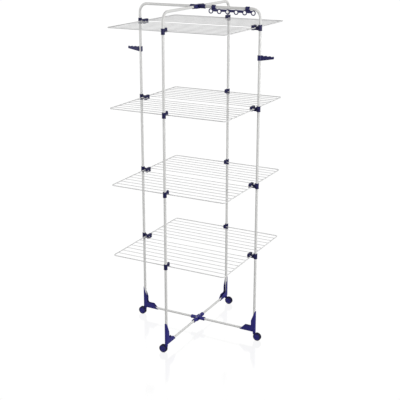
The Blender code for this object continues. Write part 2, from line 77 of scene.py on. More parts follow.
# Widths of rounded edges
HAIR_EDGE = 0.0001
CARRIER_CUT_EDGE = 0.0002
CUT_EDGE = 0.0003
THIN_EDGE = 0.0004
BOSS_EDGE = 0.0005
FOOT_CUT_EDGE = 0.0005
FINE_EDGE = 0.0006
EDGE = 0.0007
SMOOTH_EDGE = 0.0008
BROAD_EDGE = 0.0009
HEAD_EDGE = 0.001
PAD_EDGE = 0.0012

# Into how many sides or steps round forms are divided
TYRE_SIDES = 80
DISC_SIDES = 72
SLEEVE_SIDES = 56
ROUND_SIDES = 48
TUBE_SIDES = 40
SMALL_SIDES = 32
HOLE_SIDES = 24
RIM_WIRE_SIDES = 20
RING_SECTION_SIDES = 16
LINE_SIDES = 12
BEAD_SIDES = 12
BEAD_RINGS = 8
GRIP_STEPS = 30
CHANNEL_STEPS = 24
BEND_STEPS = 20
HALF_ROUND_STEPS = 20
NOTCH_STEPS = 14
SEAT_STEPS = 10
DOME_STEPS = 8
RIM_WIRE_BEND_STEPS = 8
FOOT_CORNER_STEPS = 7
SLEEVE_RIM_STEPS = 6
TYRE_FACE_STEPS = 6
TYRE_BACK_STEPS = 5
CORNER_STEPS = 5
RIM_STEPS = 4
PANEL_CORNER_STEPS = 3
EDGE_STEPS = 3
CUT_STEPS = 2

# Angles above which an edge is rounded or stays a crease
SHARP = math.radians(40)
CUT_SHARP = math.radians(38)
CREASE = math.radians(36)
WIRE_CREASE = math.radians(50)
SAME_POINT = 0.000001

# Leaves
PIVOT_Y = 0.013
LEAF_HALF = MAIN_HALF_SPAN - 0.019
CLIP_SEAT = 0.014
LEAF_WIDTH = SIDE_HALF_SPAN - CLIP_SEAT - PIVOT_Y
PIVOT_TIP = 0.31
RIM_R = 0.0025
LINE_R = 0.0015
LINE_COUNT = 7
FIRST_LINE_Y = 0.036
RIM_CORNER_R = 0.014
PIVOT_CORNER_R = 0.005
BEAD_R = 0.0022
BEAD_INSET = 0.0026
BEAD_SHAPE = (1.5, 1.0, 0.9)

# Hubs, knuckles and pins
HINGE_Y = 0.02
HUB_R = 0.011
HUB_HALF_LENGTH = 0.044
HUB_WEB_HALF = 0.004
HUB_WAIST_HALF = 0.0125
EAR_R = 0.0105
EAR_THICKNESS = 0.004
BARREL_R = 0.0085
KNUCKLE_NECK_HALF = 0.0075
KNUCKLE_START = 0.0125
KNUCKLE_LENGTH = 0.038
KNUCKLE_END_WALL = 0.0035
KNUCKLE_TALL = HUB_R - EAR_THICKNESS - GAP
SOCKET = HINGE_Y + KNUCKLE_START + KNUCKLE_END_WALL + GAP
PIN_R = 0.003
PIN_HEAD_R = 0.0048
PIN_HEAD = 0.0012
COLLAR = 0.005
WAIST = 0.0007
FORK_DEPTH = 0.0085
FORK_HALF = 0.0079
FORK_OVERRUN = 0.0005
BLUNT = 0.0034

# Leaf brackets
CLAMP_R = 0.0105
CLAMP_HALF = 0.015
CLAMP_COLLAR = 0.003
CLAMP_PROUD = 0.0006
CLAMP_ROOT = 0.009
NECK_HALF = 0.0068
NECK_LOW = 0.0125
NECK_HIGH = 0.0108
NECK_FALL = 0.0035
NECK_LIFT = 0.0012
HEAD_START = 0.028
HEAD_END = 0.041
HEAD_HALF_WIDTH = 0.02
HEAD_HALF_HEIGHT = 0.0125
HEAD_CORNER_R = 0.0042
BOSS_R = 0.0052
BOSS_PROUD = 0.0009
POCKET_DEPTH = 0.0016
POCKET_HALF = 0.0042

# Leaf clips
CLIP_HALF = 0.0045
CLIP_BRIDGE = 0.005
CLIP_BRIDGE_R = 0.001
FINGER = 0.0245
FINGER_END = 0.0345
FINGER_TOP = 0.017
FINGER_LOW = 0.006
FINGER_LEAN = 0.0012
FINGER_NAPE = 0.0105
FINGER_TIP_R = 0.001
FINGER_BACK_R = 0.003
FINGER_CROWN_R = 0.0028
FINGER_NAPE_R = 0.004
MOUTH_DROP = 0.004
PAD_HALF = 0.0062
PAD_TOP = 0.0125
PAD_LOW = 0.0035
PAD_ROOT_INSET = 0.0015
PAD_FACE_INSET = 0.0007

# Feet
FOOT_BASE_Z = 0.047
FOOT_HALF = 0.0088
FOOT_BACK = -0.0098
FOOT_SLICES = 28
FOOT_TOP_Z = 0.175
FOOT_EDGE = 0.003
FOOT_TRIM = 0.012
FOOT_LIP = 0.011
FOOT_LIP_Z = 0.132
FOOT_LIP_R = 0.006
FOOT_SHAFT = 0.0165
FOOT_SHAFT_TOP_Z = 0.117
FOOT_SHAFT_R = 0.012
FOOT_INSTEP_Z = 0.08
FOOT_INSTEP_R = 0.011
FOOT_BUMP = 0.057
FOOT_BUMP_R = 0.004
FOOT_TOE = 0.087
FOOT_BORDER = 0.0021
FOOT_PANEL = 0.0004
STEM_R = 0.0035
STEM_TOP_Z = 0.066

# Castors
TRAIL = 0.02
WHEEL_R = 0.0225
WHEEL_WIDTH = 0.0055
WHEEL_RIM = 0.005
WHEEL_HUB_R = 0.0065
WHEEL_DISH = 0.002
PLATE_HALF = 0.0025
WHEEL_INNER = PLATE_HALF + 0.0005
CARRIER_HUB_R = 0.0085
CARRIER_NECK = 0.0065
CARRIER_NECK_Z = 0.034
COLLAR_R = 0.0078
COLLAR_THICKNESS = 0.003
AXLE_R = 0.003
AXLE_HEAD_R = 0.0041
AXLE_HEAD = 0.001
TYRE_FACE_R = 0.0017
TYRE_BACK_R = 0.0012
TYRE_SEAT = 0.0006
DISC_GAP = 0.0001

# The disc's steps: how far each lies outside the hub's or the rim's radius, and above the outer face
DISC_HUB_STEPS = (
    (-0.0006, 0),
    (0, -0.0006),
    (0.0003, 0.0006 - WHEEL_DISH),
    (0.0012, -WHEEL_DISH),
)
DISC_RIM_STEPS = (
    (-0.0036, -WHEEL_DISH),
    (-0.0026, 0.0005 - WHEEL_DISH),
    (-0.002, -0.0008),
    (-0.0014, -0.0004),
    (0, -0.0006),
)

# Hanger arms
HANGER_GRIP_R = 0.0112
HANGER_ROOT = 0.0102
HANGER_REACH = 0.078
HANGER_HALF = 0.0135
HANGER_RISE = 0.002
HANGER_DEPTH = 0.013
HANGER_THICK = 0.004
HANGER_MOUTH = math.radians(95)
HANGER_TIP_TOP_R = 0.002
HANGER_TIP_LOW_R = 0.0025
HANGER_BORDER = 0.0036
HANGER_PANEL = 0.0015
HANGER_PANEL_R = 0.001
NOTCH_COUNT = 3
NOTCH_FIRST = 0.023
NOTCH_PITCH = 0.0215
NOTCH_HALF = 0.0075
NOTCH_DEPTH = 0.0032

# Ring bar
RING_COUNT = 6
RING_PITCH = 0.048
RING_FIRST_X = 0.075
RING_DROP = 0.0212
RING_R = 0.0135
RING_HOLE_R = 0.0081
RING_THICK = 0.0025
RING_FULLNESS = 0.6
STRIP_TOP = 0.0095
STRIP_LOW = 0.0125
STRIP_HALF = 0.0022
WEB_LOW = 0.0228
WEB_HALF = 0.0018
WEB_BITE = 0.001
GRIP_R = 0.0108
GRIP_HALF = 0.011
GRIP_X = (0.0935, 0.2855)
GRIP_MOUTH = math.radians(80)
GRIP_MOUTH_AT = math.radians(50)

# Where each side's post stands, how a quarter is turned to it, and the body it rides on
SIDES = {
    "left": ((-MAIN_HALF_SPAN, 0), -QUARTER),
    "right": ((MAIN_HALF_SPAN, 0), QUARTER),
    "front": ((0, -SIDE_HALF_SPAN), 0.0),
    "rear": ((0, SIDE_HALF_SPAN), 2 * QUARTER),
}
BODY_OF = {"left": "main_frame", "right": "main_frame", "front": "front_frame", "rear": "rear_frame"}
HALVES = (("front", -1, 0.0), ("rear", 1, 2 * QUARTER))

# Colours, the mouldings' as deep, bright and pale
PAINT_DULL = (0.74, 0.74, 0.725)
PAINT_CLEAN = (0.80, 0.80, 0.79)
PAINT_RUBBED = (0.56, 0.56, 0.55)
# The wire's two tones are set darker than the paint's: painted shade on the thin wires
WIRE_SHADED_DULL = (0.69, 0.69, 0.69)
WIRE_SHADED_CLEAN = (0.76, 0.76, 0.76)
WIRE_SPOTTED = (0.55, 0.55, 0.545)
TYRE_DEEP = (0.009, 0.008, 0.038)
TYRE_BRIGHT = (0.014, 0.012, 0.058)
TYRE_DUSTY = (0.06, 0.06, 0.09)
ZINC_CLOUDED = (0.46, 0.46, 0.47)
ZINC_BRIGHT = (0.66, 0.66, 0.67)
NAVY_SHADES = ((0.012, 0.011, 0.085), (0.018, 0.017, 0.125), (0.04, 0.038, 0.18))
DUSK_SHADES = ((0.009, 0.008, 0.062), (0.014, 0.013, 0.09), (0.03, 0.03, 0.13))
INDIGO_SHADES = ((0.022, 0.019, 0.18), (0.031, 0.027, 0.24), (0.06, 0.056, 0.33))
MATT_SPECULAR = 0.3


# Node trees


class Port:
    """A node's output that takes part in Python expressions."""

    def __init__(self, bench, socket):
        self.bench = bench
        self.socket = socket

    def __add__(self, other):
        return self.bench.math("ADD", self, other)

    def __mul__(self, other):
        return self.bench.math("MULTIPLY", self, other)

    def __sub__(self, other):
        return self.bench.math("SUBTRACT", self, other)

    def __rsub__(self, other):
        return self.bench.math("SUBTRACT", other, self)

    __radd__ = __add__
    __rmul__ = __mul__


class Bench:
    """Adds nodes to one tree."""

    def __init__(self, tree):
        self.tree = tree

    def node(self, kind, settings=None, values=None, out=0):
        """One node with its settings, and with the values or links of its inputs."""
        made = self.tree.nodes.new(kind)
        for key, value in (settings or {}).items():
            if key == "stops":
                for element, (place, shade) in zip(made.color_ramp.elements, value):
                    element.position = place
                    element.color = (shade, shade, shade, 1)
            else:
                setattr(made, key, value)
        for key, value in (values or {}).items():
            several = value if isinstance(value, list) else [value]
            for one in several:
                if isinstance(one, Port):
                    self.tree.links.new(one.socket, made.inputs[key])
                else:
                    made.inputs[key].default_value = one
        return Port(self, made.outputs[out])

    def math(self, operation, a, b):
        return self.node("ShaderNodeMath", {"operation": operation}, {0: a, 1: b})

    def vector(self, x, y, z):
        return self.node("ShaderNodeCombineXYZ", None, {0: x, 1: y, 2: z})

    def blend(self, factor, first, second):
        """A colour between two others, which are inputs 6 and 7 of a Mix node."""
        shades = [shade if isinstance(shade, Port) else (*shade, 1) for shade in (first, second)]
        values = {0: factor, 6: shades[0], 7: shades[1]}
        return self.node("ShaderNodeMix", {"data_type": "RGBA"}, values, out=2)


class Finish(Bench):
    """A material whose Principled shader is fed by Python expressions."""

    def __init__(self, name, **fixed):
        self.material = bpy.data.materials.new(name)
        self.material.use_nodes = True
        super().__init__(self.material.node_tree)
        self.shader = self.tree.nodes["Principled BSDF"]
        for key, value in fixed.items():
            self.shader.inputs[key.replace("_", " ")].default_value = value
        self.place = self.node("ShaderNodeTexCoord", out="Object")

    def noise(self, scale, detail, roughness=0.5, place=None):
        values = {"Vector": place or self.place, "Scale": scale, "Detail": detail, "Roughness": roughness}
        return self.node("ShaderNodeTexNoise", {"noise_dimensions": "3D"}, values)

    def stretched(self, x, y, z):
        return self.node("ShaderNodeMapping", None, {"Vector": self.place, "Scale": (x, y, z)})

    def ramp(self, factor, start, end):
        """0 up to the start and 1 from the end on."""
        return self.node("ShaderNodeValToRGB", {"stops": ((start, 0), (end, 1))}, {"Fac": factor})

    def feed(self, colour, roughness, height, depth, strength):
        link = self.tree.links.new
        link(colour.socket, self.shader.inputs["Base Color"])
        link(roughness.socket, self.shader.inputs["Roughness"])
        bump = self.node("ShaderNodeBump", None, {"Height": height, "Distance": depth, "Strength": strength})
        link(bump.socket, self.shader.inputs["Normal"])
        return self.material


def stove_enamel():
    """White paint on tube: a faint orange peel, a little uneven gloss and a few grey rubs."""
    f = Finish("stove_enamel")
    rubs = f.ramp(f.noise(scale=55, detail=5, roughness=0.62), start=0.60, end=0.74)
    drift = f.noise(scale=6, detail=2)
    colour = f.blend(rubs * 0.12, f.blend(drift, PAINT_DULL, PAINT_CLEAN), PAINT_RUBBED)
    roughness = 0.24 + drift * 0.12 + rubs * 0.18
    peel = f.noise(scale=420, detail=2, roughness=0.4)
    return f.feed(colour, roughness, peel, depth=0.00006, strength=0.5)


def wire_coating():
    """Smooth white coating on wire, painted a little darker than the frame's paint as painted shade on the
    thin wires, with a few grey spots.
    """
    f = Finish("wire_coating")
    drift = f.noise(scale=14, detail=2)
    spots = f.ramp(f.noise(scale=260, detail=3, roughness=0.6), start=0.66, end=0.78)
    colour = f.blend(spots * 0.25, f.blend(drift, WIRE_SHADED_DULL, WIRE_SHADED_CLEAN), WIRE_SPOTTED)
    peel = f.noise(scale=420, detail=1, roughness=0.4)
    return f.feed(colour, 0.34 + drift * 0.14, peel, depth=0.00004, strength=0.25)


def moulded(name, deep, bright, pale):
    """Moulded plastic: a fine spark-eroded grain, cloudy flow marks and dull handling marks."""
    f = Finish(name, Specular_IOR_Level=MATT_SPECULAR)
    flow = f.noise(scale=24, detail=3, roughness=0.55, place=f.stretched(1, 1, 0.35))
    grain = f.noise(scale=2600, detail=2, roughness=0.6)
    marks = f.ramp(f.noise(scale=120, detail=6, roughness=0.7), start=0.58, end=0.72)
    colour = f.blend(marks * 0.3, f.blend(flow, deep, bright), pale)
    roughness = 0.32 + flow * 0.1 + marks * 0.16 + grain * 0.06
    return f.feed(colour, roughness, grain + marks * 0.4, depth=0.00007, strength=0.6)


def tyre_rubber():
    """Dark blue tyre with patches of dust."""
    f = Finish("tyre_rubber", Specular_IOR_Level=MATT_SPECULAR)
    dust = f.ramp(f.noise(scale=90, detail=6, roughness=0.65), start=0.46, end=0.72)
    grain = f.noise(scale=1900, detail=2, roughness=0.6)
    base = f.blend(f.noise(scale=30, detail=2), TYRE_DEEP, TYRE_BRIGHT)
    colour = f.blend(dust * 0.3, base, TYRE_DUSTY)
    return f.feed(colour, 0.42 + dust * 0.26 + grain * 0.08, grain, depth=0.00009, strength=0.7)


def zinc_plate():
    """Bright plated steel of the pins, with turning marks and a cloudy bloom."""
    f = Finish("zinc_plate", Metallic=1.0)
    bloom = f.noise(scale=340, detail=4, roughness=0.6)
    marks = f.noise(scale=900, detail=3, place=f.stretched(1, 1, 14))
    colour = f.blend(bloom, ZINC_CLOUDED, ZINC_BRIGHT)
    return f.feed(colour, 0.24 + bloom * 0.2 + marks * 0.08, marks, depth=0.00003, strength=0.5)


PAINT = stove_enamel()
WIRE = wire_coating()
NAVY = moulded("navy_moulding", *NAVY_SHADES)
DUSK = moulded("dusk_moulding", *DUSK_SHADES)
INDIGO = moulded("indigo_moulding", *INDIGO_SHADES)
TYRE = tyre_rubber()
ZINC = zinc_plate()


# Shapes


def arc(centre, radius, start, end, steps):
    angles = [start + (end - start) * i / steps for i in range(steps + 1)]
    return [(centre[0] + radius * math.cos(a), centre[1] + radius * math.sin(a)) for a in angles]


def rounded(corners, steps=CORNER_STEPS):
    """An outline through corners given as (u, v, radius), each rounded by its radius."""
    points = []
    for i, (u, v, radius) in enumerate(corners):
        here = Vector((u, v))
        if not radius:
            points.append((u, v))
            continue
        before = (Vector(corners[i - 1][:2]) - here).normalized()
        after = (Vector(corners[(i + 1) % len(corners)][:2]) - here).normalized()
        half = before.angle(after) / 2
        centre = here + (before + after).normalized() * (radius / math.sin(half))
        reach = radius / math.tan(half)
        first, last = here + before * reach - centre, here + after * reach - centre
        turn = 2 * (QUARTER - half)
        for k in range(steps + 1):
            ahead, behind = math.sin(turn * k / steps), math.sin(turn * (1 - k / steps))
            points.append(tuple(centre + (first * behind + last * ahead) / math.sin(turn)))
    return points


def drawn_in(outline, width):
    """An anticlockwise outline moved inwards."""
    points = [Vector(p) for p in outline]
    count = len(points)
    ways = [(points[(i + 1) % count] - points[i]).normalized() for i in range(count)]
    normals = [Vector((-way.y, way.x)) for way in ways]
    moved = []
    for i, point in enumerate(points):
        before, after = normals[i - 1], normals[i]
        moved.append(tuple(point + (before + after) * (width / (1 + before.dot(after)))))
    return moved


def mesh_of(bm):
    bmesh.ops.recalc_face_normals(bm, faces=bm.faces[:])
    mesh = bpy.data.meshes.new("shape")
    bm.to_mesh(mesh)
    bm.free()
    return mesh


def eased(bm, width):
    """Rounds the sharp edges of a plain solid."""
    if width:
        sharp = [e for e in bm.edges if len(e.link_faces) == 2 and e.calc_face_angle(0) > SHARP]
        bmesh.ops.bevel(bm, geom=sharp, offset=width, segments=EDGE_STEPS, profile=0.5, affect="EDGES")
    return bm


def skinned(rings, ease=0.0):
    """Rings of points joined to a closed solid with flat ends."""
    bm = bmesh.new()
    rings = [[bm.verts.new(p) for p in ring] for ring in rings]
    count = len(rings[0])
    for here, there in zip(rings, rings[1:]):
        for j in range(count):
            k = (j + 1) % count
            bm.faces.new((here[j], here[k], there[k], there[j]))
    bm.faces.new(rings[0])
    bm.faces.new(rings[-1])
    bmesh.ops.recalc_face_normals(bm, faces=bm.faces[:])
    return mesh_of(eased(bm, ease))


def slab(outline, axis, low, high, ease=0.0):
    """A flat outline, given in the two other axes in X, Y, Z order, drawn out along an axis."""
    order = {"X": (2, 0, 1), "Y": (0, 2, 1), "Z": (0, 1, 2)}[axis]
    rings = []
    for level in (low, high):
        points = [(u, v, level) for u, v in outline]
        rings.append([[p[i] for i in order] for p in points])
    return skinned(rings, ease)


def block(low, high, ease=0.0):
    outline = [(low[0], low[1]), (high[0], low[1]), (high[0], high[1]), (low[0], high[1])]
    return slab(outline, "Z", low[2], high[2], ease)


def turning(profile, sides=ROUND_SIDES, axis="Y", centre=(0, 0, 0)):
    """A closed profile of (radius, place along the axis), turned about the axis. Radius 0 is a pole."""
    bm = bmesh.new()
    rings = []
    for r, along in profile:
        count = 1 if r == 0 else sides
        ring = []
        for i in range(count):
            a = 2 * math.pi * i / sides
            u, v = r * math.cos(a), r * math.sin(a)
            point = {"X": (along, u, v), "Y": (u, along, v), "Z": (u, v, along)}[axis]
            ring.append(bm.verts.new(Vector(point) + Vector(centre)))
        rings.append(ring)
    last = len(rings) if all(r for r, _ in profile) else len(rings) - 1
    for n in range(last):
        here, there = rings[n], rings[(n + 1) % len(rings)]
        for i in range(sides):
            k = (i + 1) % sides
            corners = [here[i % len(here)], here[k % len(here)], there[k % len(there)], there[i % len(there)]]
            bm.faces.new(list(dict.fromkeys(corners)))
    return mesh_of(bm)


def rim(radius, along, way, ease, steps=RIM_STEPS):
    """A turned end's rounded rim, from its face to its side. Way is 1 at the high end and -1 at the low."""
    level = along - way * ease
    points = arc((radius - ease, 0), ease, QUARTER, 0, steps)
    return [(r, level + way * rise) for r, rise in points]


def can(radius, low, high, ease=FINE_EDGE, axis="Z", centre=(0, 0, 0), sides=ROUND_SIDES):
    """A solid round with rounded rims."""
    side = rim(radius, high, 1, ease) + rim(radius, low, -1, ease)[::-1]
    return turning([(0, high)] + side + [(0, low)], sides, axis, centre)


def drill(radius, low, high, axis="Z", centre=(0, 0, 0), sides=ROUND_SIDES):
    return turning([(0, high), (radius, high), (radius, low), (0, low)], sides, axis, centre)


def joined(*meshes):
    bm = bmesh.new()
    for mesh in meshes:
        bm.from_mesh(mesh)
    return mesh_of(bm)


def evaluated(item):
    result = item.evaluated_get(bpy.context.evaluated_depsgraph_get())
    mesh = bpy.data.meshes.new_from_object(result)
    bpy.data.objects.remove(item, do_unlink=True)
    return mesh


def staged(mesh):
    item = bpy.data.objects.new("step", mesh)
    bpy.context.scene.collection.objects.link(item)
    return item


def boolean(operation, base, tools):
    for tool in tools:
        body, cutter = staged(base), staged(tool)
        step = body.modifiers.new("step", "BOOLEAN")
        step.operation = operation
        step.object = cutter
        base = evaluated(body)
        bpy.data.objects.remove(cutter, do_unlink=True)
    return base


def fused(base, *tools):
    return boolean("UNION", base, tools)


def carved(base, *tools):
    return boolean("DIFFERENCE", base, tools)


def softened(mesh, width=CUT_EDGE, steps=CUT_STEPS):
    """Rounds the edges that cutting has left."""
    item = staged(mesh)
    step = item.modifiers.new("step", "BEVEL")
    step.width = width
    step.segments = steps
    step.limit_method = "ANGLE"
    step.angle_limit = CUT_SHARP
    step.use_clamp_overlap = True
    return evaluated(item)


def smoothed(mesh, angle=CREASE):
    """Smooth shading with sharp creases, weighted so that flat faces stay flat."""
    bm = bmesh.new()
    bm.from_mesh(mesh)
    bmesh.ops.remove_doubles(bm, verts=bm.verts[:], dist=SAME_POINT)
    bm.to_mesh(mesh)
    bm.free()
    mesh.shade_smooth()
    mesh.set_sharp_from_angle(angle=angle)
    item = staged(mesh)
    weigh = item.modifiers.new("weigh", "WEIGHTED_NORMAL")
    weigh.keep_sharp = True
    return evaluated(item)


# Patterns of geometry nodes


class Pattern(Bench):
    """A geometry tree with named inputs, ending in Realize Instances and Set Material."""

    KINDS = {float: "NodeSocketFloat", int: "NodeSocketInt"}

    def __init__(self, name, sizes):
        self.group = bpy.data.node_groups.new(name, "GeometryNodeTree")
        super().__init__(self.group)
        face = self.group.interface
        face.new_socket("Geometry", in_out="INPUT", socket_type="NodeSocketGeometry")
        face.new_socket("Geometry", in_out="OUTPUT", socket_type="NodeSocketGeometry")
        self.known = {}
        for label, value in sizes.items():
            socket = face.new_socket(label, in_out="INPUT", socket_type=self.KINDS[type(value)])
            socket.default_value = value
            self.known[label] = socket.identifier
        finish = face.new_socket("Finish", in_out="INPUT", socket_type="NodeSocketMaterial")
        self.known["Finish"] = finish.identifier
        start = self.tree.nodes.new("NodeGroupInput")
        self.size = {socket.name: Port(self, socket) for socket in start.outputs if socket.name}

    def end(self, *shapes):
        whole = self.node("GeometryNodeJoinGeometry", None, {0: list(shapes)})
        real = self.node("GeometryNodeRealizeInstances", None, {0: whole})
        coated = self.node("GeometryNodeSetMaterial", None, {0: real, "Material": self.size["Finish"]})
        out = self.tree.nodes.new("NodeGroupOutput")
        self.tree.links.new(coated.socket, out.inputs[0])

    def made(self, mesh, finish, **sizes):
        """The plain mesh that this tree makes from a mesh."""
        item = staged(mesh)
        step = item.modifiers.new("pattern", "NODES")
        step.node_group = self.group
        step[self.known["Finish"]] = finish
        for label, value in sizes.items():
            step[self.known[label.replace("_", " ")]] = value
        return evaluated(item)

    def swept(self, path, radius, sides):
        profile = self.node("GeometryNodeCurvePrimitiveCircle", None, {"Resolution": sides, "Radius": radius})
        values = {"Curve": path, "Profile Curve": profile, "Fill Caps": True}
        return self.node("GeometryNodeCurveToMesh", None, values)

    def bent(self, path, radius, steps):
        values = {"Curve": path, "Count": steps, "Radius": radius, "Limit Radius": False}
        return self.node("GeometryNodeFilletCurve", {"mode": "POLY"}, values)


def tube_pattern():
    """A bent tube along a run of straight edges."""
    sizes = {"Tube radius": TUBE_R, "Bend radius": BEND_R, "Bend steps": BEND_STEPS, "Sides": TUBE_SIDES}
    p = Pattern("bent_tube", sizes)
    path = p.node("GeometryNodeMeshToCurve", None, {0: p.size["Geometry"]})
    path = p.bent(path, p.size["Bend radius"], p.size["Bend steps"])
    p.end(p.swept(path, p.size["Tube radius"], p.size["Sides"]))
    return p


def leaf_pattern():
    """A wire leaf: a bent rim, and lines across it with a weld bead at each end."""
    sizes = {
        "Rim radius": RIM_R,
        "Line radius": LINE_R,
        "Half length": LEAF_HALF,
        "First line": FIRST_LINE_Y - PIVOT_Y,
        "Pitch": (LEAF_WIDTH + PIVOT_Y - FIRST_LINE_Y) / LINE_COUNT,
        "Lines": LINE_COUNT,
        "Bead": BEAD_R,
    }
    p = Pattern("wire_leaf", sizes)
    s = p.size
    path = p.node("GeometryNodeMeshToCurve", None, {0: s["Geometry"]})
    bend = p.node("GeometryNodeInputNamedAttribute", {"data_type": "FLOAT"}, {"Name": "bend"})
    edge = p.swept(p.bent(path, bend, RIM_WIRE_BEND_STEPS), s["Rim radius"], RIM_WIRE_SIDES)
    start, step = p.vector(0, 0 - s["First line"], 0), p.vector(0, 0 - s["Pitch"], 0)
    values = {"Count": s["Lines"], "Start Location": start, "Offset": step}
    spots = p.node("GeometryNodeMeshLine", None, values)
    ends = {"Start": p.vector(0 - s["Half length"], 0, 0), "End": p.vector(s["Half length"], 0, 0)}
    line = p.swept(p.node("GeometryNodeCurvePrimitiveLine", None, ends), s["Line radius"], LINE_SIDES)
    values = {"Segments": BEAD_SIDES, "Rings": BEAD_RINGS, "Radius": s["Bead"]}
    ball = p.node("GeometryNodeMeshUVSphere", None, values)
    beads = []
    for way in (-1, 1):
        shift = p.vector((s["Half length"] - BEAD_INSET) * way, 0, 0)
        values = {"Geometry": ball, "Translation": shift, "Scale": BEAD_SHAPE}
        beads.append(p.node("GeometryNodeTransform", None, values))
    welded = p.node("GeometryNodeJoinGeometry", None, {0: [line] + beads})
    lines = p.node("GeometryNodeInstanceOnPoints", None, {"Points": spots, "Instance": welded})
    p.end(edge, lines)
    return p


def row_pattern():
    """A shape repeated in a straight row."""
    p = Pattern("row", {"Count": RING_COUNT, "Step": RING_PITCH})
    step = p.vector(p.size["Step"], 0, 0)
    spots = p.node("GeometryNodeMeshLine", None, {"Count": p.size["Count"], "Offset": step})
    p.end(p.node("GeometryNodeInstanceOnPoints", None, {"Points": spots, "Instance": p.size["Geometry"]}))
    return p


BENT_TUBE = tube_pattern()
WIRE_LEAF = leaf_pattern()
ROW = row_pattern()


def run_of(points, bends=None):
    """A run of straight edges through points, with the bend radius at each."""
    mesh = bpy.data.meshes.new("run")
    mesh.from_pydata(points, [(i, i + 1) for i in range(len(points) - 1)], [])
    if bends:
        mesh.attributes.new("bend", "FLOAT", "POINT").data.foreach_set("value", bends)
    return mesh


# Placing


def settled(mesh, place=(0, 0, 0), turn=0.0):
    """A copy of a mesh, turned about Z and moved to its place."""
    copy = mesh.copy()
    copy.transform(Matrix.Translation(Vector(place)) @ Matrix.Rotation(turn, 4, "Z"))
    return copy


def dress(name, mesh, finish, body, slot, *nodes):
    """One finished piece on its body, standing for its nodes."""
    mesh.name = name
    mesh.materials.clear()
    mesh.materials.append(finish)
    piece = bpy.data.objects.new(name, mesh)
    bpy.context.scene.collection.objects.link(piece)
    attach(piece, body)
    if nodes:
        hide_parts(*nodes)


def each_side(suffix, mesh, finish, slot, node, z=0.0, sides=SIDES):
    for side in sides:
        (x, y), turn = SIDES[side]
        piece = settled(mesh, (x, y, z), turn)
        dress(f"{side}_{suffix}", piece, finish, BODY_OF[side], slot, f"{side}_{node}")


# Frame tubes


def straight_bar(start, end):
    run = run_of([start, end])
    return smoothed(BENT_TUBE.made(run, PAINT, Tube_radius=BAR_R, Bend_radius=0.0))


def tubes():
    for side, ((x, y), turn) in SIDES.items():
        main = BODY_OF[side] == "main_frame"
        span = MAIN_HALF_SPAN - HUB_WEB_HALF - GAP if main else SIDE_HALF_SPAN - SOCKET
        run = run_of([(0, 0, POST_END_Z), (0, 0, ARM_Z), (0, span, ARM_Z)])
        post = settled(smoothed(BENT_TUBE.made(run, PAINT)), (x, y, 0), turn)
        dress(f"{side}_post_tube", post, PAINT, BODY_OF[side], "frame_paint", f"{side}_post")
        if not main:
            bar = straight_bar((0, BAR_SETBACK, BAR_Z), (0, SIDE_HALF_SPAN - SOCKET, BAR_Z))
            bar = settled(bar, (x, y, 0), turn)
            dress(f"{side}_base_tube", bar, PAINT, BODY_OF[side], "frame_paint", f"{side}_base_bar")
    reach = MAIN_HALF_SPAN - BAR_SETBACK
    bar = straight_bar((-reach, 0, BAR_Z), (reach, 0, BAR_Z))
    dress("main_base_tube", bar, PAINT, "main_frame", "frame_paint", "main_base_bar")


# Leaves


def leaves():
    half, width, tip = LEAF_HALF, LEAF_WIDTH, PIVOT_TIP
    points = [(-tip, 0), (-half, 0), (-half, -width), (half, -width), (half, 0), (tip, 0)]
    bends = [0.0, PIVOT_CORNER_R, RIM_CORNER_R, RIM_CORNER_R, PIVOT_CORNER_R, 0.0]
    run = run_of([(x, y, 0) for x, y in points], bends)
    leaf = smoothed(WIRE_LEAF.made(run, WIRE), WIRE_CREASE)
    for side, way, turn in HALVES:
        for i, z in enumerate(TIER_Z):
            node = f"{side}_leaf_{i + 1}"
            mesh = settled(leaf, (0, way * PIVOT_Y, z), turn)
            dress(f"{side}_wire_leaf_{i + 1}", mesh, WIRE, node, "line_paint", node)


# Moulded brackets and clips


def clamp():
    """A solid sleeve in the post's place, with a raised collar at each end."""
    level = CLAMP_HALF - CLAMP_COLLAR
    profile = rim(CLAMP_R, CLAMP_HALF, 1, SMOOTH_EDGE)
    profile += [(CLAMP_R, level), (CLAMP_R - CLAMP_PROUD, level - CLAMP_PROUD)]
    profile += [(r, -z) for r, z in reversed(profile)]
    return turning([(0, CLAMP_HALF)] + profile + [(0, -CLAMP_HALF)], SLEEVE_SIDES, "Z")


def post_bore():
    reach = CLAMP_HALF + OVERRUN
    return drill(TUBE_R + GAP, -reach, reach)


def leaf_brackets():
    wide, tall, r = HEAD_HALF_WIDTH, HEAD_HALF_HEIGHT, HEAD_CORNER_R
    outline = rounded([(-wide, -tall, r), (wide, -tall, r), (wide, tall, r), (-wide, tall, r)])
    head = slab(outline, "Y", HEAD_START, HEAD_END, HEAD_EDGE)
    far = (HEAD_START + HEAD_END) / 2
    neck = [(CLAMP_ROOT, -NECK_LOW), (far, NECK_LIFT - NECK_LOW), (far, -NECK_FALL), (CLAMP_ROOT, NECK_HIGH)]
    parts = [slab(neck, "X", -NECK_HALF, NECK_HALF, BROAD_EDGE), head]
    tools = [post_bore()]
    for x in (-PIVOT_Y, PIVOT_Y):
        low, high = HEAD_END - BOSS_PROUD, HEAD_END + BOSS_PROUD
        parts.append(can(BOSS_R, low, high, BOSS_EDGE, "Y", (x, 0, 0), SMALL_SIDES))
        low, high = HEAD_START - OVERRUN, HEAD_END + OVERRUN
        tools.append(drill(RIM_R + GAP, low, high, "Y", (x, 0, 0), HOLE_SIDES))
        low = (x - POCKET_HALF, HEAD_START - POCKET_DEPTH, BOSS_R - GAP)
        high = (x + POCKET_HALF, HEAD_START + POCKET_DEPTH, HEAD_HALF_HEIGHT - 2 * POCKET_DEPTH)
        tools.append(block(low, high, FINE_EDGE))
    bracket = smoothed(softened(carved(fused(clamp(), *parts), *tools)))
    for i, z in enumerate(TIER_Z):
        node = f"leaf_bracket_{i + 1}"
        each_side(f"leaf_clamp_{i + 1}", bracket, DUSK, "joint_plastic", node, z, ("left", "right"))


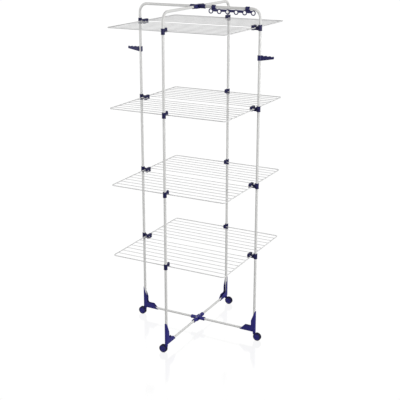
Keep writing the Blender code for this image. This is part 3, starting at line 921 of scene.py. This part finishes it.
def leaf_clips():
    seat = RIM_R + GAP
    mouth = CLIP_SEAT + seat
    bridge = seat + CLIP_BRIDGE
    corners = [(CLAMP_ROOT, bridge, 0), (CLAMP_ROOT, 0, 0)]
    corners += [(u, v, 0) for u, v in arc((CLIP_SEAT, 0), seat, 2 * QUARTER, 0, SEAT_STEPS)]
    corners += [
        (mouth, -MOUTH_DROP, 0),
        (FINGER, -FINGER_LOW, FINGER_TIP_R),
        (FINGER_END, -FINGER_LOW, FINGER_TIP_R),
        (FINGER_END, FINGER_TOP, FINGER_BACK_R),
        (FINGER + FINGER_LEAN, FINGER_TOP, FINGER_CROWN_R),
        (FINGER, FINGER_NAPE, FINGER_NAPE_R),
        (FINGER - CLIP_BRIDGE, bridge, CLIP_BRIDGE_R),
    ]
    web = slab(rounded(corners), "X", -CLIP_HALF, CLIP_HALF, EDGE)
    low = (-PAD_HALF, FINGER + PAD_ROOT_INSET, -PAD_LOW)
    high = (PAD_HALF, FINGER_END - PAD_FACE_INSET, PAD_TOP)
    pad = block(low, high, PAD_EDGE)
    clip = smoothed(softened(carved(fused(clamp(), web, pad), post_bore())))
    for i, z in enumerate(TIER_Z):
        node = f"leaf_clip_{i + 1}"
        each_side(f"leaf_catch_{i + 1}", clip, DUSK, "joint_plastic", node, z, ("front", "rear"))


# Hubs, knuckles and pins

ENDS = {"top": (ARM_Z, TUBE_R, NAVY), "bottom": (BAR_Z, BAR_R, INDIGO)}


def sleeve(low, high, low_ease, high_ease, axis, centre=(0, 0, 0)):
    """A solid sleeve with a collar at each end and a slight waist."""
    near, far = max(COLLAR, low_ease), max(COLLAR, high_ease)
    waist = HUB_R - WAIST
    profile = [(0, high)] + rim(HUB_R, high, 1, high_ease, SLEEVE_RIM_STEPS)
    profile += [(HUB_R, high - far), (waist, high - far - WAIST)]
    profile += [(waist, low + near + WAIST), (HUB_R, low + near)]
    profile += rim(HUB_R, low, -1, low_ease, SLEEVE_RIM_STEPS)[::-1] + [(0, low)]
    return turning(profile, SLEEVE_SIDES, axis, centre)


def fork_cut(axis, end, way):
    """The outline of a wedge that leaves two prongs at a sleeve's end."""
    tip, root = end + way * FORK_OVERRUN, end - way * FORK_DEPTH
    flat = [(tip, -FORK_HALF), (root, 0), (tip, FORK_HALF)]
    return [(v, u) for u, v in flat] if axis == "Y" else flat


def hubs():
    reach, tall = HUB_HALF_LENGTH + OVERRUN, HUB_R + OVERRUN
    for end, (z, bore, finish) in ENDS.items():
        web, forked = (HUB_WEB_HALF, -1) if end == "top" else (0, 1)
        at = (0, 0, z)
        eases = (BROAD_EDGE, BLUNT) if forked < 0 else (BLUNT, BROAD_EDGE)
        body = sleeve(-HUB_HALF_LENGTH, HUB_HALF_LENGTH, *eases, "X", at)
        parts = [can(HUB_R, -HUB_WAIST_HALF, HUB_WAIST_HALF, WAIST, "X", at, SLEEVE_SIDES)]
        for low in (z - HUB_R, z + HUB_R - EAR_THICKNESS):
            half = arc((0, HINGE_Y), EAR_R, 0, 2 * QUARTER, HALF_ROUND_STEPS)
            parts.append(slab(half + [(-x, -y) for x, y in half], "Z", low, low + EAR_THICKNESS, EDGE))
        bores = ((web, reach), (-reach, -web)) if web else ((-reach, reach),)
        tools = [drill(bore + GAP, near, far, "X", at) for near, far in bores]
        fork = fork_cut("X", forked * HUB_HALF_LENGTH, forked)
        tools.append(slab(fork, "Z", z - tall, z + tall))
        for y in (-HINGE_Y, HINGE_Y):
            tools.append(drill(PIN_R + GAP, z - tall, z + tall, "Z", (0, y, 0), SMALL_SIDES))
        hub = smoothed(softened(carved(fused(body, *parts), *tools)))
        dress(f"{end}_hub_moulding", hub, finish, "main_frame", "joint_plastic", f"{end}_hub")


def knuckles():
    tall, half, wall = KNUCKLE_TALL, KNUCKLE_NECK_HALF, KNUCKLE_END_WALL
    for end, (z, bore, finish) in ENDS.items():
        for side, way, turn in HALVES:
            barrel = can(BARREL_R, -tall, tall)
            neck = block((-half, -KNUCKLE_START - wall / 2, -tall), (half, 0, tall), FINE_EDGE)
            blunt = BLUNT if side == "rear" else BROAD_EDGE
            body = fused(barrel, neck, sleeve(-KNUCKLE_LENGTH, -KNUCKLE_START, blunt, BROAD_EDGE, "Y"))
            tools = [drill(bore + GAP, -KNUCKLE_LENGTH - OVERRUN, -KNUCKLE_START - wall, "Y")]
            tools.append(drill(PIN_R + GAP, -HUB_R, HUB_R, sides=SMALL_SIDES))
            if side == "front":
                fork = fork_cut("Y", -KNUCKLE_LENGTH, -1)
                tools.append(slab(fork, "Z", -HUB_R - OVERRUN, HUB_R + OVERRUN))
            knuckle = smoothed(softened(carved(body, *tools)))
            mesh = settled(knuckle, (0, way * HINGE_Y, z), turn)
            name = f"{side}_{end}_knuckle"
            dress(f"{name}_moulding", mesh, finish, f"{side}_frame", "joint_plastic", name)


def domed(radius, face, height, shank):
    """One end of a rivet's profile, from the pole of its head to its shank."""
    dome = arc((0, 0), radius, QUARTER, 0, DOME_STEPS)
    points = [(r, face + rise * height / radius) for r, rise in dome[1:]]
    return [(0, face + height)] + points + [(shank, face)]


def mirrored(profile):
    return profile + [(r, -along) for r, along in reversed(profile)]


def pins():
    profile = mirrored(domed(PIN_HEAD_R, HUB_R + GAP, PIN_HEAD, PIN_R))
    pin = smoothed(turning(profile, SMALL_SIDES, "Z"))
    for side, way, _ in HALVES:
        for end, (z, *_) in ENDS.items():
            mesh, node = settled(pin, (0, way * HINGE_Y, z)), f"{side}_{end}_hinge_pin"
            dress(f"{side}_{end}_rivet", mesh, ZINC, "main_frame", "pin_steel", node)


# Feet


def foot_outline(inset):
    """The foot's outline in its own plane, with its back and its base drawn in by the inset."""
    back, base = FOOT_BACK + inset, FOOT_BASE_Z + inset
    fall = (FOOT_TOP_Z - FOOT_LIP_Z) / (FOOT_LIP - FOOT_BACK - FOOT_EDGE)
    run = (FOOT_TOE - FOOT_BUMP) / (FOOT_INSTEP_Z - FOOT_BASE_Z - FOOT_EDGE)
    corners = [
        (back, base, 0),
        (FOOT_BUMP + (FOOT_INSTEP_Z - base) * run, base, 0),
        (FOOT_BUMP, FOOT_INSTEP_Z, FOOT_BUMP_R),
        (FOOT_SHAFT, FOOT_INSTEP_Z, FOOT_INSTEP_R),
        (FOOT_SHAFT, FOOT_SHAFT_TOP_Z, FOOT_SHAFT_R),
        (FOOT_LIP, FOOT_LIP_Z, FOOT_LIP_R),
        (back, FOOT_LIP_Z + (FOOT_LIP - back) * fall, 0),
    ]
    return rounded(corners, FOOT_CORNER_STEPS)


def channel(middle, radius, far):
    """A slot's outline: a half round below the middle, and straight walls up to the far end."""
    half = arc((0, middle), radius, 2 * QUARTER, 4 * QUARTER, CHANNEL_STEPS)
    return half + [(radius, far), (-radius, far)]


def feet():
    """A bracket of two cheeks and a rounded back, with the post's channel and the bar's channel."""
    slices = []
    for i in range(FOOT_SLICES + 1):
        angle = QUARTER * (2 * i / FOOT_SLICES - 1)
        x, inset = FOOT_HALF * math.sin(angle), FOOT_HALF * (1 - math.cos(angle))
        slices.append([(x, y, z) for y, z in foot_outline(inset)])
    body = skinned(slices)
    top, toe, wide = FOOT_TOP_Z + OVERRUN, FOOT_TOE + OVERRUN, FOOT_HALF + OVERRUN
    tools = [
        block((-wide, FOOT_BACK - OVERRUN, FOOT_TOP_Z), (wide, FOOT_SHAFT, FOOT_TOP_Z + FOOT_TRIM)),
        block((-wide, FOOT_TOE, FOOT_BASE_Z - OVERRUN), (wide, FOOT_TOE + FOOT_TRIM, BAR_Z)),
        slab(channel(0, TUBE_R + GAP, toe), "Z", POST_END_Z - GAP, top),
        slab(channel(BAR_Z, BAR_R + GAP, top), "Y", BAR_SETBACK - GAP, toe),
        drill(STEM_R + GAP, FOOT_BASE_Z - OVERRUN, STEM_TOP_Z + GAP, sides=SMALL_SIDES),
    ]
    foot = softened(carved(body, *tools), FOOT_CUT_EDGE, EDGE_STEPS)
    panel = drawn_in(foot_outline(FOOT_HALF), FOOT_BORDER)
    floors = (FOOT_PANEL - FOOT_HALF - OVERRUN, FOOT_HALF - FOOT_PANEL)
    foot = carved(foot, *[slab(panel, "X", low, low + OVERRUN, HAIR_EDGE) for low in floors])
    each_side("foot_gusset", smoothed(foot), INDIGO, "foot_plastic", "foot")


# Castors


def castor_carrier():
    """The swivel plate with its collar, its stem and its two stub axles, at the stem's axis."""
    top = FOOT_BASE_Z - GAP
    eye = arc((-TRAIL, WHEEL_R), CARRIER_HUB_R, 1.5 * QUARTER, 3.5 * QUARTER, HALF_ROUND_STEPS)
    outline = [(CARRIER_NECK, top), (-CARRIER_NECK, top)] + eye + [(CARRIER_NECK, CARRIER_NECK_Z)]
    plate = slab(outline, "Y", -PLATE_HALF, PLATE_HALF, EDGE)
    collar = can(COLLAR_R, top - COLLAR_THICKNESS, top, EDGE)
    stem = can(STEM_R, top - COLLAR_THICKNESS / 2, STEM_TOP_Z, SMOOTH_EDGE, sides=SMALL_SIDES)
    face = WHEEL_INNER + WHEEL_WIDTH + GAP
    ends = mirrored(domed(AXLE_HEAD_R, face, AXLE_HEAD, AXLE_R))
    axle = turning(ends, SMALL_SIDES, "Y", (-TRAIL, 0, WHEEL_R))
    return smoothed(softened(fused(plate, collar, stem, axle), CARRIER_CUT_EDGE))


def castor_tyre():
    inner = WHEEL_R - WHEEL_RIM
    face = rim(WHEEL_R, WHEEL_WIDTH, 1, TYRE_FACE_R, TYRE_FACE_STEPS)
    back = rim(WHEEL_R, 0, -1, TYRE_BACK_R, TYRE_BACK_STEPS)[::-1]
    return smoothed(turning([(inner, WHEEL_WIDTH - TYRE_SEAT)] + face + back + [(inner, GAP)], TYRE_SIDES))


def castor_disc():
    """The dished disc inside the tyre, with a stepped rim and a hub round the axle."""
    bore, outer = AXLE_R + GAP, WHEEL_R - WHEEL_RIM - DISC_GAP
    profile = [(bore, WHEEL_WIDTH)]
    for radius, steps in ((WHEEL_HUB_R, DISC_HUB_STEPS), (outer, DISC_RIM_STEPS)):
        profile += [(radius + out, WHEEL_WIDTH + rise) for out, rise in steps]
    return smoothed(turning(profile + [(outer, GAP), (bore, GAP)], DISC_SIDES))


def castors():
    carrier, tyre, disc = castor_carrier(), castor_tyre(), castor_disc()
    for side, ((x, y), _) in SIDES.items():
        way, turn = (1, 2 * QUARTER) if side in ("right", "rear") else (-1, 0.0)
        mesh = settled(carrier, (x, y, 0), turn)
        node = f"{side}_castor_carrier"
        dress(f"{side}_castor_swivel", mesh, INDIGO, f"{side}_castor", "foot_plastic", node)
        for number, facing in ((1, -1), (2, 1)):
            at = (x + way * TRAIL, y + facing * WHEEL_INNER, WHEEL_R)
            turn = 0.0 if facing > 0 else 2 * QUARTER
            body, node = f"{side}_wheel_{number}", f"{side}_castor_wheel_{number}"
            dress(f"{side}_tyre_{number}", settled(tyre, at, turn), TYRE, body, "wheel_plastic", node)
            dress(f"{side}_disc_{number}", settled(disc, at, turn), INDIGO, body, "wheel_plastic")


# Hanger arms and ring bar


def grip_outline(outer, mouth_at, mouth):
    """A ring round a tube, open over the mouth's angle."""
    start, end = mouth_at + mouth / 2, mouth_at - mouth / 2 + 4 * QUARTER
    outside = arc((0, 0), outer, start, end, GRIP_STEPS)
    return outside + arc((0, 0), TUBE_R + GAP, end, start, GRIP_STEPS)


def hanger_arms():
    """A flat arm with notches in its upper edge and a sunk panel in each side, on a grip."""
    outline = grip_outline(HANGER_GRIP_R, 0, HANGER_MOUTH)
    grip = slab(outline, "Z", -HANGER_HALF, HANGER_HALF, EDGE)
    root, tip, high = -HANGER_ROOT, -HANGER_REACH, HANGER_HALF

    def edge(y):
        return high - HANGER_RISE * (y - root) / (tip - root)

    top = [(root, high)]
    for i in range(NOTCH_COUNT):
        centre = -(NOTCH_FIRST + NOTCH_PITCH * i)
        for k in range(NOTCH_STEPS + 1):
            y = centre + NOTCH_HALF * (1 - 2 * k / NOTCH_STEPS)
            top.append((y, edge(y) - NOTCH_DEPTH * (0.5 - 0.5 * math.cos(2 * math.pi * k / NOTCH_STEPS))))
    low = edge(tip) - HANGER_DEPTH
    ends = [(tip, edge(tip), HANGER_TIP_TOP_R), (tip, low, HANGER_TIP_LOW_R)]
    ends += [(root, -high, 0), (root, high, 0)]
    wedge = slab(top + rounded(ends)[:-1], "X", -HANGER_THICK, HANGER_THICK, BROAD_EDGE)
    near, far, border, r = root - HANGER_BORDER, tip + HANGER_BORDER, HANGER_BORDER, HANGER_PANEL_R
    ceiling = edge(tip) - NOTCH_DEPTH - border
    fall = (low + high) / (tip - root)
    floors = [-high + fall * (y - root) + border for y in (near, far)]
    corners = [(near, ceiling, r), (far, ceiling, r), (far, floors[1], r), (near, floors[0], r)]
    panel = rounded(corners, PANEL_CORNER_STEPS)
    places = (-HANGER_THICK - OVERRUN + HANGER_PANEL, HANGER_THICK - HANGER_PANEL)
    pockets = [slab(panel, "X", place, place + OVERRUN, THIN_EDGE) for place in places]
    arm = smoothed(softened(fused(carved(wedge, *pockets), grip)))
    for side in ("left", "right"):
        (x, y), turn = SIDES[side]
        body = f"{side}_hanger_arm"
        mesh = settled(arm, (x, y, HANGER_Z), turn)
        dress(f"{side}_notched_arm", mesh, NAVY, body, "joint_plastic", body)


def ring_section():
    """The section of a ring, fuller at its hole and at its outside than an ellipse."""
    middle, half = (RING_R + RING_HOLE_R) / 2, (RING_R - RING_HOLE_R) / 2
    points = []
    for i in range(RING_SECTION_SIDES):
        angle = 2 * math.pi * i / RING_SECTION_SIDES
        across = math.copysign(abs(math.cos(angle)) ** RING_FULLNESS, math.cos(angle))
        points.append((middle + half * across, RING_THICK * math.sin(angle)))
    return points


def ring_bar():
    """A strip with a thinner web below it and six rings, on two grips."""
    first, last = RING_FIRST_X, RING_FIRST_X + RING_PITCH * (RING_COUNT - 1)
    z = ARM_Z - RING_DROP
    rings = ROW.made(turning(ring_section(), ROUND_SIDES, "Y", (first, 0, z)), NAVY)
    low, high = (first, -STRIP_HALF, ARM_Z - STRIP_LOW), (last, STRIP_HALF, ARM_Z - STRIP_TOP)
    strip = block(low, high, SMOOTH_EDGE)
    low, high = (first, -WEB_HALF, ARM_Z - WEB_LOW), (last, WEB_HALF, ARM_Z - STRIP_LOW + WEB_BITE)
    web = block(low, high, THIN_EDGE)
    places = [(first + RING_PITCH * k, 0, z) for k in range(RING_COUNT)]
    holes = [drill(RING_HOLE_R, -2 * OVERRUN, 2 * OVERRUN, "Y", place, SMALL_SIDES) for place in places]
    outline = grip_outline(GRIP_R, GRIP_MOUTH_AT, GRIP_MOUTH)
    grips = []
    for x in GRIP_X:
        grips.append(settled(slab(outline, "X", x - GRIP_HALF, x + GRIP_HALF, EDGE), (0, 0, ARM_Z)))
    whole = joined(fused(carved(fused(strip, web), joined(*holes)), *grips), rings)
    dress("ring_rail", smoothed(whole), NAVY, "ring_bar", "joint_plastic", "ring_bar")


# Studio and camera

WHITE = (1, 1, 1, 1)
FLOOR_REACH = 40.0
FLOOR_GLOSS = 0.14
FLOOR_SEEN = 1.07
FLOOR_GLOW = 0.26
HAZE_SCALE = 3.0
HAZE_LEAST = 0.1
HAZE_SPREAD = 0.06
BACK_SEEN = 1.01
SKY_MIDDLE = 0.64
SKY_SWING = 0.30
DARK_WAY = (0.30, -0.55, 0.78)
LAMP_AIM = Vector((0, 0, 1.5))
LAMPS = (
    ("key", (3.6, -0.7, 1.9), 1.6, 80),
    ("fill", (-1.9, -2.3, 1.9), 1.2, 30),
)
CAMERA_DISTANCE = 4.5802
CAMERA_HEIGHT = 2.2533
CAMERA_AZIMUTH = math.radians(27.977)
CAMERA_PITCH = math.radians(16.9845)
CAMERA_SHIFT = (0.00487, -0.036)
SENSOR_WIDTH = 36
FOCAL_PIXELS = 867.05
PICTURE_PIXELS = 400


def floor():
    """A white floor that glows, more brightly for the camera, and mirrors faintly."""
    mesh = bpy.data.meshes.new("floor")
    r = FLOOR_REACH
    mesh.from_pydata([(-r, -r, 0), (r, -r, 0), (r, r, 0), (-r, r, 0)], [], [(0, 1, 2, 3)])
    material = bpy.data.materials.new("floor")
    material.use_nodes = True
    mesh.materials.append(material)
    plate = Bench(material.node_tree)
    seen = plate.node("ShaderNodeLightPath", out="Is Camera Ray")
    glow = plate.node("ShaderNodeEmission", None, {"Strength": seen * (FLOOR_SEEN - FLOOR_GLOW) + FLOOR_GLOW})
    haze = plate.node("ShaderNodeTexNoise", None, {"Scale": HAZE_SCALE}) * HAZE_SPREAD + HAZE_LEAST
    gloss = plate.node("ShaderNodeBsdfAnisotropic", None, {"Color": WHITE, "Roughness": haze})
    whole = plate.node("ShaderNodeMixShader", None, {0: FLOOR_GLOSS, 1: glow, 2: gloss})
    plate.tree.links.new(whole.socket, plate.tree.nodes["Material Output"].inputs["Surface"])
    ground = bpy.data.objects.new("floor", mesh)
    bpy.context.scene.collection.objects.link(ground)


def studio():
    """A sky that is white for the camera and has a darker side for the piece, and two lamps."""
    world = bpy.data.worlds.new("studio")
    bpy.context.scene.world = world
    world.use_nodes = True
    sky = Bench(world.node_tree)
    seen = sky.node("ShaderNodeLightPath", out="Is Camera Ray")
    way = sky.node("ShaderNodeTexCoord", out="Generated")
    dot = sky.node("ShaderNodeVectorMath", {"operation": "DOT_PRODUCT"}, {0: way, 1: DARK_WAY}, out="Value")
    shade = SKY_MIDDLE - dot * SKY_SWING
    light = world.node_tree.nodes["Background"]
    light.inputs["Color"].default_value = WHITE
    strength = shade * (1 - seen) + seen * BACK_SEEN
    world.node_tree.links.new(strength.socket, light.inputs["Strength"])
    for name, place, size, power in LAMPS:
        data = bpy.data.lights.new(name, "AREA")
        data.size = size
        data.energy = power
        lamp = bpy.data.objects.new(name, data)
        lamp.location = place
        aim = LAMP_AIM - Vector(place)
        lamp.rotation_euler = aim.to_track_quat("-Z", "Y").to_euler()
        bpy.context.scene.collection.objects.link(lamp)
    bpy.context.scene.view_settings.view_transform = "Standard"


def camera():
    data = bpy.data.cameras.new("photo_view")
    data.sensor_width = SENSOR_WIDTH
    data.lens = SENSOR_WIDTH * FOCAL_PIXELS / PICTURE_PIXELS
    data.shift_x, data.shift_y = CAMERA_SHIFT
    item = bpy.data.objects.new("photo_view", data)
    x, y = CAMERA_DISTANCE * math.sin(CAMERA_AZIMUTH), -CAMERA_DISTANCE * math.cos(CAMERA_AZIMUTH)
    item.location = (x, y, CAMERA_HEIGHT)
    item.rotation_euler = (QUARTER - CAMERA_PITCH, 0, CAMERA_AZIMUTH)
    bpy.context.scene.collection.objects.link(item)
    bpy.context.scene.camera = item


tubes()
leaves()
leaf_brackets()
leaf_clips()
hubs()
knuckles()
pins()
feet()
castors()
hanger_arms()
ring_bar()
floor()
studio()
camera()
